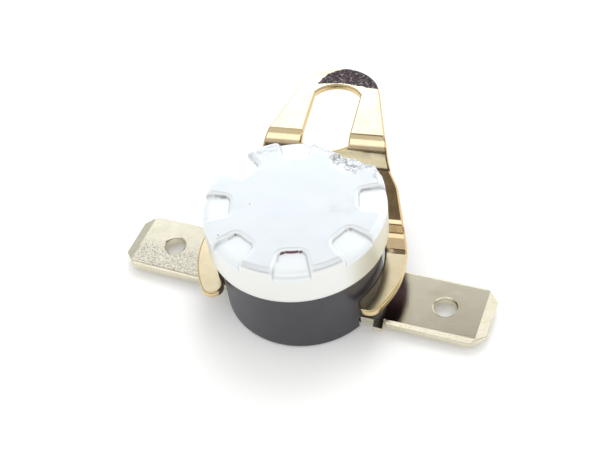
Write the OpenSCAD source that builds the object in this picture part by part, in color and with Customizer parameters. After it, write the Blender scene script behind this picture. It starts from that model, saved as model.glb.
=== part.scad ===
// Snap-disc thermal switch with two push-on blades and a loose one-eared bracket.
// Millimetres. +Z runs up through the cap, the underside of the base is z = 0,
// and +Y runs along the bracket's ear. The blades lie along X, a few degrees off,
// because the switch is turned in its bracket.

/* [Cap] */
// Outer diameter of the crimped cap
cap_d = 16; // [15.6:0.1:17.4]
// Room between the crown of the disc and the cap's top
disc_room = 0.8; // [0.55:0.05:1]
// Sheet thickness of the cap
cap_wall = 0.45; // [0.35:0.05:0.55]
// Width of the bevel round the cap's top edge
cap_bevel = 0.7; // [0.4:0.05:1]
// Number of pockets pressed into the cap's top edge
pocket_count = 8; // [4:1:10]
// Radius at which the pockets begin
pocket_r = 5.6; // [5:0.1:6]
// Width of a pocket at its inner end
pocket_w = 2.1; // [1.6:0.1:2.8]
// Angle by which each side of a pocket opens outwards
pocket_splay = 12; // [0:1:16]
// Depth of a pocket's floor below the top at its inner end
pocket_step = 0.35; // [0.2:0.05:0.4]
// Slope of a pocket's floor, falling outwards
pocket_slope = 4; // [0:1:14]
// Corner radius of a pocket
pocket_corner = 0.4; // [0.1:0.05:0.7]
// Turn of the first pocket from the blades
pocket_turn = 19.4; // [0:0.1:45]

/* [Base] */
// Diameter of the moulded base below the cap
base_d = 14.5; // [13.6:0.1:14.6]
// Height of the crimped lip's lower face above the underside
lip_z = 7.2; // [7:0.1:7.6]
// Thickness of the base's flange, which the cap is crimped round
flange_h = 0.75; // [0.5:0.05:0.9]
// Radius of the base's lower edge
foot_r = 0.4; // [0.1:0.05:0.8]
// Thickness of the base between the blades and the switch chamber
floor_t = 1.2; // [0.8:0.1:1.4]
// Diameter of the switch chamber
chamber_d = 12.2; // [12:0.1:12.4]
// Width of the barrier rib between the two blades
rib_w = 2.4; // [1.6:0.1:3]
// Clearance on each side of a blade in its channel
channel_gap = 0.2; // [0.1:0.05:0.4]

/* [Blades] */
// Width of a push-on blade
blade_w = 6.3; // [5.6:0.1:6.6]
// Thickness of a blade
blade_t = 0.8; // [0.6:0.05:1]
// Distance of a blade's tip from the centre
blade_tip = 17.6; // [16:0.1:20]
// Height of a blade's lower face above the underside
blade_lift = 0.6; // [0.5:0.05:0.8]
// Diameter of the detent hole
detent_d = 2; // [1.4:0.1:2.2]
// Distance of the detent hole from the centre
detent_x = 13.35; // [12:0.05:14.5]
// Length of the corner chamfers at a blade's tip
tip_chamfer = 1.2; // [0.6:0.1:1.8]
// Length of the coined lead-in at a blade's tip
lead_in = 0.9; // [0.4:0.1:1.2]
// Depth of the coined lead-in on each face
lead_depth = 0.2; // [0.1:0.05:0.28]
// Gap between a blade's inner end and the barrier rib
root_gap = 0.4; // [0.1:0.1:0.8]
// Length of the bent stop tab beside a blade's root
tab_len = 0.9; // [0.8:0.1:1.8]
// How far the stop tab stands out from the blade's edge
tab_reach = 0.5; // [0.3:0.05:0.8]
// Thickness of the stop tab
tab_t = 0.4; // [0.3:0.05:0.55]
// Distance of the stop tab from the centre
tab_x = 7.7; // [7.6:0.05:8.4]

/* [Switch inside] */
// Distance of the two rivets from the centre
rivet_x = 4.2; // [4.15:0.05:4.3]
// Diameter of a rivet's shank
rivet_d = 2; // [1.6:0.1:2.2]
// Diameter of a rivet's heads
rivet_head_d = 3.2; // [2.8:0.1:3.4]
// Width of a rivet head's flat crown, as a share of the head
crown_share = 0.75; // [0.6:0.05:0.9]
// Thickness of a rivet's lower head
rivet_head_h = 0.5; // [0.3:0.05:0.5]
// Height of a rivet's upper head
upper_head_h = 0.6; // [0.4:0.05:0.8]
// Length of the leaf and the carrier beyond their rivets
rivet_edge = 1.1; // [1:0.05:1.2]
// Height of the pad under the spring leaf
pad_h = 0.8; // [0.75:0.05:1]
// Distance of the pads' inner faces from the centre
pad_x = 2.95; // [2.9:0.05:3]
// Width of the pads
pad_w = 3.8; // [3.4:0.1:4.2]
// How far the pads run into the chamber's wall
pad_bite = 0.35; // [0.2:0.05:0.5]
// Thickness of the spring leaf
leaf_t = 0.2; // [0.15:0.05:0.3]
// Width of the spring leaf
leaf_w = 3; // [2.4:0.1:3.4]
// Rim of the leaf beyond the push pin and round the contact
leaf_rim = 0.15; // [0.1:0.05:0.15]
// Distance of the contacts from the centre
contact_x = 1.9; // [1.8:0.05:1.95]
// Diameter of the contacts
contact_d = 1.4; // [1.2:0.1:1.5]
// Height of each contact button
contact_h = 0.4; // [0.3:0.05:0.5]
// Chamfer of each contact button
contact_edge = 0.1; // [0.05:0.05:0.15]
// Length of the moving contact's stem below the leaf
contact_tail = 0.1; // [0.05:0.05:0.15]
// Thickness of the fixed contact's carrier
bridge_t = 0.5; // [0.4:0.05:0.7]
// Diameter of the push pin
pin_d = 1.9; // [1.4:0.1:1.9]
// Chamfer of the push pin's ends
pin_edge = 0.15; // [0.05:0.05:0.2]
// Radial clearance of the push pin in the guide plate
pin_gap = 0.05; // [0.03:0.01:0.1]
// Gap between the push pin and the relaxed disc
pin_idle = 0.1; // [0.05:0.05:0.2]
// Thickness of the guide plate's web
guide_t = 0.8; // [0.5:0.05:0.85]
// Height of the ledge that carries the disc, above the web
ledge_h = 0.35; // [0.3:0.05:0.35]
// Width of the ledge under the disc's rim
ledge_w = 0.5; // [0.3:0.05:0.8]
// Radial gap round the disc
disc_gap = 0.1; // [0.05:0.05:0.15]
// Width of the guide plate's sloped outer edge
collar_slope = 0.3; // [0.25:0.05:0.4]
// Diameter of the bimetal disc
disc_d = 12.8; // [12.4:0.1:13]
// Thickness of the bimetal disc
disc_t = 0.2; // [0.15:0.05:0.25]
// Rise of the disc's dome
disc_rise = 0.2; // [0.15:0.05:0.3]

/* [Bracket] */
// Turn of the switch in its bracket
body_turn = -8; // [-30:1:30]
// Sheet thickness of the bracket
sheet_t = 0.6; // [0.5:0.05:0.8]
// Radial gap between the fork and the base
fork_gap = 0.25; // [0.15:0.05:0.4]
// Outer radius of the fork
fork_r = 9.5; // [9:0.1:10]
// Half angle of the fork's mouth, from its middle to the arms' tips
mouth_half = 50; // [40:1:60]
// Radius of the ear's round end
ear_r = 4.2; // [3.8:0.1:4.5]
// Distance of the ear's round end from the centre
ear_y = 17.5; // [16.5:0.1:19]
// Taper of each side of the ear
ear_taper = 14.5; // [12:0.5:17]
// Radius of the shoulder and the neck on each side
neck_r = 3; // [1:0.5:4]
// Angle from +X at which the outside of the fork leaves its circle
fork_leave = 16.5; // [12:0.5:20]
// Distance of the shoulder from the centre, along Y
shoulder_y = 8.3; // [7.6:0.1:8.6]
// Distance of the neck from the centre, along Y
neck_y = 10.5; // [10.3:0.1:11]
// Width of the fixing slot
slot_w = 4.5; // [4.2:0.1:5]
// Near end of the slot
slot_y0 = 10.8; // [10.4:0.1:11]
// Far end of the slot
slot_y1 = 19.1; // [18.6:0.1:19.6]
// Radius of the slot's far end
slot_r1 = 2.63; // [2.6:0.01:4]
// Radius of the slot's near end
slot_r0 = 5.6; // [2.6:0.1:6]
// Height of the level arms' upper face
arm_z = 4.4; // [4:0.1:4.8]
// Where the arms begin to rise
arm_bend_y = 1.6; // [0:0.1:3]
// Rise of the arms towards the ear
arm_rise = 10; // [6:1:11]
// Where the arms turn up into the ear
crease_y = 10; // [9.6:0.1:10.2]
// Slope of the step up to the ear
step_slope = 51; // [40:1:54]
// Height of the ear's upper face
ear_z = 8; // [7.6:0.1:8.6]
// Inner radius of the bends
bend_r = 0.8; // [0.4:0.1:1]
// Length of the curled tip of the ear
curl_len = 1.4; // [0.8:0.1:2]
// Upward curl of the ear's tip
curl_angle = 3; // [0:1:15]

/* [Hidden] */
$fn = 96;
// Small overlap that lets a cut run past a face
past = 0.5;
// Overlap that lets a cut run past the cap's edge
clear = 1;
// Smallest radius inside the cap's top edge
bend_min = 0.05;
// Running and seating clearances
seat_gap = 0.05;
rivet_gap = 0.02;

cap_r = cap_d / 2;
base_r = base_d / 2;
inner_r = cap_r - cap_wall;
flange_r = inner_r - seat_gap;
lip_r = base_r + seat_gap;
flange_z = lip_z + cap_wall;
base_top = flange_z + flange_h;
channel_z = blade_lift + blade_t;
floor_z = channel_z + floor_t;
chamber_r = chamber_d / 2;

leaf_z = floor_z + pad_h;
leaf_top = leaf_z + leaf_t;
bridge_z = leaf_top + 2 * contact_h;
bridge_top = bridge_z + bridge_t;

web_top = base_top + guide_t;
ledge_z = web_top + ledge_h;
disc_r = disc_d / 2;
ledge_r = disc_r - ledge_w;
collar_r = disc_r + disc_gap;
collar_top = ledge_z + disc_t - seat_gap;
collar_out = flange_r - collar_slope;
pin_r = pin_d / 2;
pin_top = ledge_z + disc_rise - pin_idle;
cap_top = ledge_z + disc_rise + disc_t + disc_room + cap_wall;
detent_r = detent_d / 2;
rivet_r = rivet_d / 2;
head_r = rivet_head_d / 2;

fork_in = base_r + fork_gap;
fork_mid = (fork_r + fork_in) / 2;
fork_end = (fork_r - fork_in) / 2;

// Points of an arc about a centre, from one angle to another
function arc(c, r, a0, a1, n = 6) =
    [for (i = [0:n]) let (a = a0 + (a1 - a0) * i / n) c + r * [cos(a), sin(a)]];

// Direction of a line in the plane, in degrees
function heading(p, q) = atan2(q[1] - p[1], q[0] - p[0]);

// Centre line of a bent strip: its corners are rounded to radius r
function bent(p, r, n = 6) = concat([p[0]], [
    for (i = [1:len(p) - 2])
        let (a = heading(p[i - 1], p[i]), b = heading(p[i], p[i + 1]), turn = b - a,
             side = sign(turn), back = r * tan(abs(turn) / 2),
             start = p[i] - back * [cos(a), sin(a)],
             c = start + side * r * [-sin(a), cos(a)])
        for (q = arc(c, r, a - side * 90, b - side * 90, n)) q
], [p[len(p) - 1]]);

// Unit normals along a polyline, mitred at its points
function normals(p) = [
    for (i = [0:len(p) - 1])
        let (a = heading(p[max(i - 1, 0)], p[max(i, 1)]),
             b = heading(p[min(i, len(p) - 2)], p[min(i + 1, len(p) - 1)]),
             m = (a + b) / 2)
        [-sin(m), cos(m)] / cos((b - a) / 2)
];

// A strip of even thickness below a polyline
module strip(p, t) {
    n = normals(p);
    polygon(concat(p, [for (i = [len(p) - 1:-1:0]) p[i] - t * n[i]]));
}

module turned() rotate(body_turn) children();

module pockets(grow) {
    splay = tan(pocket_splay);
    far = cap_r + clear;
    half = pocket_w / 2 + grow;
    in_r = pocket_r - grow;
    corner = pocket_corner + grow;
    half_far = half + (far - pocket_r) * splay;
    z0 = cap_top - pocket_step - grow;
    drop = tan(pocket_slope);
    for (i = [0:pocket_count - 1])
        rotate(pocket_turn + i * 360 / pocket_count)
            intersection() {
                translate([0, 0, lip_z])
                    linear_extrude(2 * (cap_top - lip_z))
                        polygon(concat([[far, half_far]],
                            arc([in_r + corner, half - corner], corner, 90, 180),
                            arc([in_r + corner, corner - half], corner, 180, 270),
                            [[far, -half_far]]));
                rotate([90, 0, 0])
                    linear_extrude(2 * far, center = true)
                        polygon([[in_r - clear, z0 + (pocket_r - in_r + clear) * drop],
                                 [far, z0 - (far - pocket_r) * drop],
                                 [far, cap_top + clear], [in_r - clear, cap_top + clear]]);
            }
}

module cap_outside() {
    edge = cap_wall;
    rotate_extrude()
        polygon(concat([[0, lip_z]],
            arc([cap_r - edge, lip_z + edge], edge, -90, 0),
            arc([cap_r - cap_bevel, cap_top - cap_bevel], cap_bevel, 0, 90),
            [[0, cap_top]]));
}

module cap_inside() {
    bend = max(cap_bevel - cap_wall, bend_min);
    rotate_extrude()
        polygon(concat([[0, flange_z], [inner_r, flange_z]],
            arc([inner_r - bend, cap_top - cap_wall - bend], bend, 0, 90),
            [[0, cap_top - cap_wall]]));
}

module cap() {
    color([0.9, 0.91, 0.92])
        turned()
            difference() {
                cap_outside();
                difference() {
                    cap_inside();
                    pockets(cap_wall);
                }
                pockets(0);
                translate([0, 0, lip_z - past])
                    cylinder(r = lip_r, h = cap_wall + 2 * past);
            }
}

module bimetal_disc() {
    dome_r = (disc_r * disc_r + disc_rise * disc_rise) / (2 * disc_rise);
    half = asin(disc_r / dome_r);
    centre = [0, ledge_z + disc_rise - dome_r];
    color([0.62, 0.6, 0.58])
        rotate_extrude()
            polygon(concat(arc(centre, dome_r, 90 - half, 90, 8),
                arc(centre + [0, disc_t], dome_r, 90, 90 - half, 8)));
}

module guide_plate() {
    color([0.3, 0.16, 0.1])
        rotate_extrude()
            polygon([[pin_r + pin_gap, base_top], [flange_r, base_top],
                     [flange_r, ledge_z], [collar_out, collar_top],
                     [collar_r, collar_top], [collar_r, ledge_z],
                     [ledge_r, ledge_z], [ledge_r, web_top],
                     [pin_r + pin_gap, web_top]]);
}

module push_pin() {
    color([0.93, 0.92, 0.88])
        rotate_extrude()
            polygon([[0, leaf_top], [pin_r - pin_edge, leaf_top], [pin_r, leaf_top + pin_edge],
                     [pin_r, pin_top - pin_edge], [pin_r - pin_edge, pin_top], [0, pin_top]]);
}

// Channel in the underside for one blade, open at the rim and closed at the rib
module channel() {
    wide = blade_w + 2 * channel_gap;
    translate([rib_w / 2, -wide / 2, -past])
        cube([base_r, wide, channel_z + past]);
}

module both_ends() {
    children();
    rotate(180) children();
}

// Pad inside the chamber on the +X side, blended into its wall
module pad(top) {
    translate([pad_x, -pad_w / 2, floor_z - past])
        cube([chamber_r + pad_bite - pad_x, pad_w, top - floor_z + past]);
}

module base() {
    color([0.13, 0.12, 0.14])
        turned()
            difference() {
                union() {
                    difference() {
                        rotate_extrude()
                            polygon(concat([[0, 0]],
                                arc([base_r - foot_r, foot_r], foot_r, -90, 0),
                                [[base_r, flange_z], [flange_r, flange_z],
                                 [flange_r, base_top], [0, base_top]]));
                        translate([0, 0, floor_z])
                            cylinder(r = chamber_r, h = base_top);
                    }
                    rotate(180) pad(leaf_z);
                    pad(bridge_z);
                }
                both_ends() channel();
                for (side = [-1, 1])
                    translate([side * rivet_x, 0, 0])
                        cylinder(r = rivet_r + rivet_gap, h = base_top);
            }
}

// One push-on blade pointing along +X, with its stop tab bent down at the root
module blade() {
    root = rib_w / 2 + root_gap;
    half = blade_w / 2;
    slope = atan(lead_depth / lead_in);
    difference() {
        translate([0, 0, blade_lift])
            linear_extrude(blade_t)
                polygon([[root, -half], [blade_tip - tip_chamfer, -half],
                         [blade_tip, tip_chamfer - half], [blade_tip, half - tip_chamfer],
                         [blade_tip - tip_chamfer, half], [root, half]]);
        for (face = [0, 1])
            translate([blade_tip, 0, blade_lift + blade_t / 2])
                mirror([0, 0, face])
                    translate([-lead_in, 0, blade_t / 2])
                        rotate([0, slope, 0])
                            translate([-past, -blade_w, 0])
                                cube([lead_in + 3 * past, 2 * blade_w, blade_t]);
        translate([detent_x, 0, 0])
            cylinder(r = detent_r, h = channel_z + past);
        translate([rivet_x, 0, 0])
            cylinder(r = rivet_r + rivet_gap, h = channel_z + past);
    }
    translate([tab_x, -half - tab_reach, blade_lift])
        cube([tab_len, tab_reach + past, tab_t]);
}

module left_blade() {
    color([0.84, 0.83, 0.77]) turned() rotate(180) blade();
}

module right_blade() {
    color([0.84, 0.83, 0.77]) turned() blade();
}

// Rivet with a flat head under the blade and a riveted head at height top
module rivet(top) {
    crown = head_r * crown_share;
    rotate_extrude()
        polygon([[0, blade_lift - rivet_head_h], [crown, blade_lift - rivet_head_h],
                 [head_r, blade_lift - rivet_head_h / 2], [head_r, blade_lift],
                 [rivet_r, blade_lift], [rivet_r, top], [head_r, top],
                 [head_r, top + upper_head_h / 2], [crown, top + upper_head_h],
                 [0, top + upper_head_h]]);
}

module left_rivet() {
    color([0.8, 0.68, 0.4]) turned() translate([-rivet_x, 0, 0]) rivet(leaf_top);
}

module right_rivet() {
    color([0.8, 0.68, 0.4]) turned() translate([rivet_x, 0, 0]) rivet(bridge_top);
}

module spring_leaf() {
    tail = rivet_x + rivet_edge;
    tip_r = contact_d / 2 + leaf_rim;
    color([0.85, 0.55, 0.3])
        turned()
            translate([0, 0, leaf_z])
                linear_extrude(leaf_t)
                    difference() {
                        union() {
                            translate([-tail, -leaf_w / 2])
                                square([tail + pin_r + leaf_rim, leaf_w]);
                            translate([0, -tip_r])
                                square([contact_x, 2 * tip_r]);
                            translate([contact_x, 0]) circle(tip_r);
                        }
                        translate([-rivet_x, 0]) circle(rivet_r + rivet_gap);
                        translate([contact_x, 0]) circle(contact_d / 4 + rivet_gap);
                    }
}

// Contact button standing on z = 0, with its stem below
module contact(stem) {
    r = contact_d / 2;
    rotate_extrude()
        polygon([[0, -stem], [r / 2, -stem], [r / 2, 0], [r, 0],
                 [r, contact_h - contact_edge], [r - contact_edge, contact_h], [0, contact_h]]);
}

module moving_contact() {
    color([0.86, 0.86, 0.88])
        turned() translate([contact_x, 0, leaf_top]) contact(leaf_t + contact_tail);
}

module fixed_contact() {
    color([0.86, 0.86, 0.88])
        turned() translate([contact_x, 0, bridge_z]) mirror([0, 0, 1]) contact(bridge_t);
}

module fixed_bridge() {
    near = contact_x - contact_d / 2;
    far = rivet_x + rivet_edge;
    color([0.82, 0.7, 0.42])
        turned()
            translate([0, 0, bridge_z])
                linear_extrude(bridge_t)
                    difference() {
                        translate([near, -leaf_w / 2]) square([far - near, leaf_w]);
                        translate([rivet_x, 0]) circle(rivet_r + rivet_gap);
                        translate([contact_x, 0]) circle(contact_d / 4 + rivet_gap);
                    }
}

// Outline of the bracket seen from above, before the base's hole and the slot are cut
module bracket_outline() {
    reach = ear_y * sin(ear_taper) + ear_r;
    leave = fork_r * [cos(fork_leave), sin(fork_leave)];
    shoulder = [(fork_r - shoulder_y * sin(fork_leave)) / cos(fork_leave), shoulder_y];
    neck = [(reach - neck_y * sin(ear_taper)) / cos(ear_taper), neck_y];
    ear = [0, ear_y] + ear_r * [cos(ear_taper), sin(ear_taper)];
    waist = bent([leave, shoulder, neck, ear], neck_r);
    tip_a = mouth_half + asin(fork_end / fork_mid) - 90;
    tip = fork_mid * [cos(tip_a), sin(tip_a)];
    side = concat(arc(tip, fork_end, tip_a - 180, tip_a, 10),
        arc([0, 0], fork_r, tip_a, fork_leave, 20),
        [for (i = [1:len(waist) - 2]) waist[i]],
        arc([0, ear_y], ear_r, ear_taper, 90, 10));
    polygon(concat([[0, 0]], side,
        [for (i = [len(side) - 2:-1:0]) [-side[i][0], side[i][1]]]));
}

// Slot with a round far end and a flatter near end
module slot_outline() {
    far_a = acos(slot_w / 2 / slot_r1);
    near_a = acos(slot_w / 2 / slot_r0);
    polygon(concat(arc([0, slot_y1 - slot_r1], slot_r1, far_a, 180 - far_a, 10),
        arc([0, slot_y0 + slot_r0], slot_r0, 180 + near_a, 360 - near_a, 8)));
}

// Upper face of the bracket seen from its side, as distance along Y and height
module bracket_side() {
    crease_z = arm_z + (crease_y - arm_bend_y) * tan(arm_rise);
    ear_bend_y = crease_y + (ear_z - crease_z) / tan(step_slope);
    tip_y = ear_y + ear_r;
    curl_y = tip_y - curl_len;
    run = curl_len + past;
    strip(bent([[-fork_r - past, arm_z], [arm_bend_y, arm_z], [crease_y, crease_z],
                [ear_bend_y, ear_z], [curl_y, ear_z], [curl_y + run, ear_z + run * tan(curl_angle)]],
               bend_r + sheet_t), sheet_t);
}

module bracket() {
    color([0.83, 0.72, 0.42])
        intersection() {
            rotate([90, 0, 90])
                linear_extrude(4 * fork_r, center = true)
                    bracket_side();
            difference() {
                linear_extrude(2 * cap_top)
                    difference() {
                        bracket_outline();
                        slot_outline();
                    }
                translate([0, 0, -past])
                    cylinder(r = fork_in, h = 3 * cap_top);
            }
        }
}

cap();
bimetal_disc();
guide_plate();
push_pin();
base();
left_blade();
right_blade();
left_rivet();
right_rivet();
spring_leaf();
moving_contact();
fixed_bridge();
fixed_contact();
bracket();
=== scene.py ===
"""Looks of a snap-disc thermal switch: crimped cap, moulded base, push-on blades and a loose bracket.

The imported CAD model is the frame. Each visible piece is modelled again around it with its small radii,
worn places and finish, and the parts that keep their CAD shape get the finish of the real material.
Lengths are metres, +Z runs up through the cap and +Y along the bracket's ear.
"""

import math
from functools import partial

import bmesh
import bpy
from bpy.props import FloatProperty, FloatVectorProperty, IntProperty, PointerProperty
from bpy.types import Operator, Panel, PropertyGroup
from mathutils import Matrix, Vector, noise
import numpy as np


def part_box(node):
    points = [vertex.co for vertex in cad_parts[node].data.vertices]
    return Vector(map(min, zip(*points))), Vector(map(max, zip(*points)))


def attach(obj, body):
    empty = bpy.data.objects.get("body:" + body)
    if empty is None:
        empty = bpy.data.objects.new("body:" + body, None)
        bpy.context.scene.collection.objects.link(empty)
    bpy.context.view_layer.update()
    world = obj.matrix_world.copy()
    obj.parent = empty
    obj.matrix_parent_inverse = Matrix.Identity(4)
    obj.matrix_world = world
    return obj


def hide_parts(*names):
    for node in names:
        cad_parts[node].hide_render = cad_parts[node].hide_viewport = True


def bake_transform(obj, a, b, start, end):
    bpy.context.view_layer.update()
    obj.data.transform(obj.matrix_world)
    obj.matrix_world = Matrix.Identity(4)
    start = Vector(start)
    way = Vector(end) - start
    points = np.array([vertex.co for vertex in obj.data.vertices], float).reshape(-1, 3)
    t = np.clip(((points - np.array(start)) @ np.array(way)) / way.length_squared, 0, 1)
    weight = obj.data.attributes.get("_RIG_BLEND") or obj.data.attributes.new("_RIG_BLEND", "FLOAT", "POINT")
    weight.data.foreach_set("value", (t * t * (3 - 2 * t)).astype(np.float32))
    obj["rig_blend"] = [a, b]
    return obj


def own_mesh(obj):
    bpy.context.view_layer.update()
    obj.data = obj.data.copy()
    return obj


bl_info = {
    "name": "Snap-disc thermal switch",
    "version": (1, 0, 0),
    "blender": (4, 5, 0),
    "location": "3D View > Sidebar > Thermal switch",
    "description": "Builds the cap, base, blades, bracket and inner parts of a snap-disc thermal switch",
    "category": "Add Mesh",
}

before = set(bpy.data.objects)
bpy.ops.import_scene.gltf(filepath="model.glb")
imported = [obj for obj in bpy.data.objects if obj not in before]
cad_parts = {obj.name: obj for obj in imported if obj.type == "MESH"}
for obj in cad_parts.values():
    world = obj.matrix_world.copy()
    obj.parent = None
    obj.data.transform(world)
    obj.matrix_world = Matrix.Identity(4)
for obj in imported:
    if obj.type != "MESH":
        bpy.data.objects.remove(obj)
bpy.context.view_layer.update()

MM = 0.001
# Slack with which two places count as the same
TINY = 0.001 * MM
# Width of the photograph in pixels, and of the camera's sensor in millimetres
IMAGE_WIDTH, SENSOR_WIDTH = 600, 36.0
# Radius of the floor in metres
FLOOR_RADIUS = 0.6
WHITE = (1.0, 1.0, 1.0, 1.0)

CAP_LOW, CAP_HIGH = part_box("cap")
BASE_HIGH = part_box("base")[1]
# Radius of the base below its flange
BASE_RADIUS = 7.25 * MM
# Distance of each rivet from the centre, and the radius of its hole in the blade and the leaf
RIVET_AT, RIVET_HOLE = 4.2 * MM, 1.02 * MM


def linear(code):
    """Linear colour, with an alpha of 1, of an sRGB hex value."""
    channels = [int(code[i:i + 2], 16) / 255 for i in (1, 3, 5)]
    return tuple(c / 12.92 if c <= 0.04045 else ((c + 0.055) / 1.055) ** 2.4 for c in channels) + (1.0,)


def length(name, description, default):
    """Property for a length that is given in millimetres."""
    return FloatProperty(name=name, description=description, default=default * MM, unit="LENGTH",
                         subtype="DISTANCE", min=0.0)


def angle(name, description, default):
    """Property for an angle that is given in degrees."""
    return FloatProperty(name=name, description=description, default=math.radians(default), unit="ROTATION",
                         subtype="ANGLE")


def colour(name, description, code):
    """Property for a surface colour that is given as an sRGB hex value."""
    return FloatVectorProperty(name=name, description=description, default=linear(code), size=4,
                               subtype="COLOR", min=0.0, max=1.0)


class CapSettings(PropertyGroup):
    """Sizes and colour of the crimped cap."""

    wall: length("Wall", "Sheet thickness of the cap", 0.45)
    bevel: length("Bevel", "Width of the bevel round the cap's top edge", 0.5)
    pockets: IntProperty(name="Pockets", description="Pockets pressed into the top edge", default=8, min=4,
                         max=10)
    pocket_start: length("Pocket start", "Radius at which the pockets begin", 5.6)
    pocket_width: length("Pocket width", "Width of a pocket at its inner end", 2.1)
    pocket_splay: angle("Pocket splay", "Angle by which a pocket's sides open outwards", 12)
    pocket_step: length("Pocket depth", "Depth of a pocket's floor at its inner end", 0.35)
    pocket_slope: angle("Pocket slope", "Slope of a pocket's floor, falling outwards", 4)
    pocket_shoulder: length("Pocket shoulder", "Radius of the shoulder round a pocket", 0.42)
    pocket_edge: length("Pocket edge", "Width of the rounding at a pocket's outer edge", 0.8)
    pocket_drop: length("Pocket drop", "Height of the rounding at a pocket's outer edge", 0.42)
    pocket_turn: angle("Pocket turn", "Direction of the first pocket", 11.4)
    crease: length("Crumple", "Depth of the crumples in the damaged rim", 0.11)
    seed: IntProperty(name="Seed", description="Seed of the crumples in the damaged rim", default=12, min=1)
    surface: colour("Aluminium", "Colour of the satin aluminium", "#E3E6E8")


class BaseSettings(PropertyGroup):
    """Sizes and colour of the moulded base."""

    foot: length("Foot radius", "Radius of the lower edge", 0.4)
    rib: length("Rib", "Width of the barrier rib between the blades", 2.4)
    channel_gap: length("Channel gap", "Clearance on each side of a blade", 0.2)
    channel_depth: length("Channel depth", "Depth of the blades' channels", 1.4)
    floor: length("Floor", "Height of the chamber's floor", 2.6)
    chamber: length("Chamber", "Radius of the switch chamber", 6.1)
    surface: colour("Phenolic", "Colour of the moulded body", "#2A2830")


class BladeSettings(PropertyGroup):
    """Sizes and colour of the push-on blades."""

    width: length("Width", "Width of a blade", 6.3)
    thickness: length("Thickness", "Thickness of a blade", 0.8)
    lift: length("Lift", "Height of a blade above the underside", 0.6)
    tip: length("Tip", "Distance of a blade's tip from the centre", 17.6)
    root: length("Root", "Distance of a blade's inner end from the centre", 1.6)
    chamfer: length("Chamfer", "Length of the corner chamfers", 1.2)
    lead_in: length("Lead-in", "Length of the coined lead-in", 0.9)
    lead_depth: length("Lead-in depth", "Depth of the coined lead-in", 0.2)
    hole: length("Detent hole", "Diameter of the detent hole", 2.0)
    hole_at: length("Hole distance", "Distance of the detent hole from the centre", 13.35)
    roll_over: length("Roll-over", "Width of the coined edge on the blade's front", 0.5)
    turn: angle("Turn", "Turn of the switch in its bracket", -8)
    surface: colour("Nickel", "Colour of the nickel plating", "#E9E4D4")


class BracketSettings(PropertyGroup):
    """Sizes and colours of the sheet-metal bracket."""

    sheet: length("Sheet", "Sheet thickness", 0.6)
    fork_inner: length("Fork inside", "Inner radius of the fork", 7.5)
    fork_outer: length("Fork outside", "Outer radius of the fork", 9.5)
    mouth: angle("Mouth", "Half angle of the fork's mouth", 50)
    ear_radius: length("Ear radius", "Radius of the ear's round end", 4.2)
    ear_at: length("Ear distance", "Distance of the ear's round end", 17.5)
    taper: angle("Taper", "Taper of each side of the ear", 14.5)
    leave: angle("Leave", "Angle from +X at which the fork's outside runs straight", 16.5)
    shoulder: length("Shoulder", "Distance of the shoulder from the centre", 8.3)
    neck: length("Neck", "Distance of the neck from the centre", 10.5)
    roll_over: length("Roll-over", "Radius of the sheared upper edges", 0.18)
    surface: colour("Plating", "Colour of the yellow plating", "#F5ECD2")
    stain: colour("Stain", "Colour of the burnt stain on the ear's tip", "#453B3F")


class InsideSettings(PropertyGroup):
    """Colours of the parts inside the switch."""

    brass: colour("Brass", "Colour of the rivets and the fixed contact's carrier", "#D9BE80")
    copper: colour("Leaf", "Colour of the spring leaf's copper alloy", "#D49A6A")
    bimetal: colour("Bimetal", "Colour of the snap disc", "#B9B6AE")
    silver: colour("Silver", "Colour of the contacts", "#E6E5E0")
    ceramic: colour("Ceramic", "Colour of the push pin", "#E9E5DA")
    guide: colour("Guide", "Colour of the guide plate", "#4A2F22")


class StageSettings(PropertyGroup):
    """Camera and light."""

    azimuth: angle("Azimuth", "Direction of the camera", 19.09)
    elevation: angle("Elevation", "Height of the camera above the horizon", 47.69)
    roll: angle("Roll", "Roll of the camera", -8.48)
    distance: length("Distance", "Distance of the camera from its target", 96.88)
    focal: FloatProperty(name="Focal length", description="Focal length in pixels of the photograph",
                         default=1070.0, min=100.0)
    ambient: FloatProperty(name="Ambient", description="Strength of the even light", default=0.98, min=0.0)
    key: FloatProperty(name="Key light", description="Power of the main lamp in watts", default=0.3, min=0.0)
    paper: colour("Floor", "Colour of the floor", "#F3F3F3")
    lift: FloatProperty(name="Floor lift", description="White that shows on the floor besides its light",
                        default=0.12, min=0.0)


def scene_settings(name):
    """Property group of that name on the scene."""
    return getattr(bpy.context.scene, name)


# Mesh helpers

def smooth_step(low, high, value):
    """Soft step from 0 at low to 1 at high."""
    t = min(max((value - low) / (high - low), 0.0), 1.0)
    return t * t * (3.0 - 2.0 * t)


def window(low, high, soft, value):
    """Soft window that is 1 between low and high and fades over soft outside them."""
    return smooth_step(low - soft, low, value) * (1.0 - smooth_step(high, high + soft, value))


def sweep(bm, vert, centre, degrees, steps):
    """Draws an arc from a vertex about a centre and gives the vertex at its far end."""
    made = bmesh.ops.spin(bm, geom=[vert], cent=(centre[0], centre[1], 0.0), axis=(0.0, 0.0, 1.0),
                          dvec=(0.0, 0.0, 0.0), angle=math.radians(degrees), steps=steps,
                          use_merge=False, use_normal_flip=False, use_duplicate=False)
    return [e for e in made["geom_last"] if isinstance(e, bmesh.types.BMVert)][0]


def trace(bm, vert, *points):
    """Draws straight edges from a vertex through the points and gives the last vertex."""
    for point in points:
        end = bm.verts.new(point)
        bm.edges.new((vert, end))
        vert = end
    return vert


def round_off(bm, geom, width, segments, affect="EDGES"):
    """Rounds edges or corners, or chamfers them with a single segment."""
    bmesh.ops.bevel(bm, geom=geom, offset=width, offset_type="OFFSET", segments=segments, profile=0.5,
                    affect=affect, clamp_overlap=False, material=-1)


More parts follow.
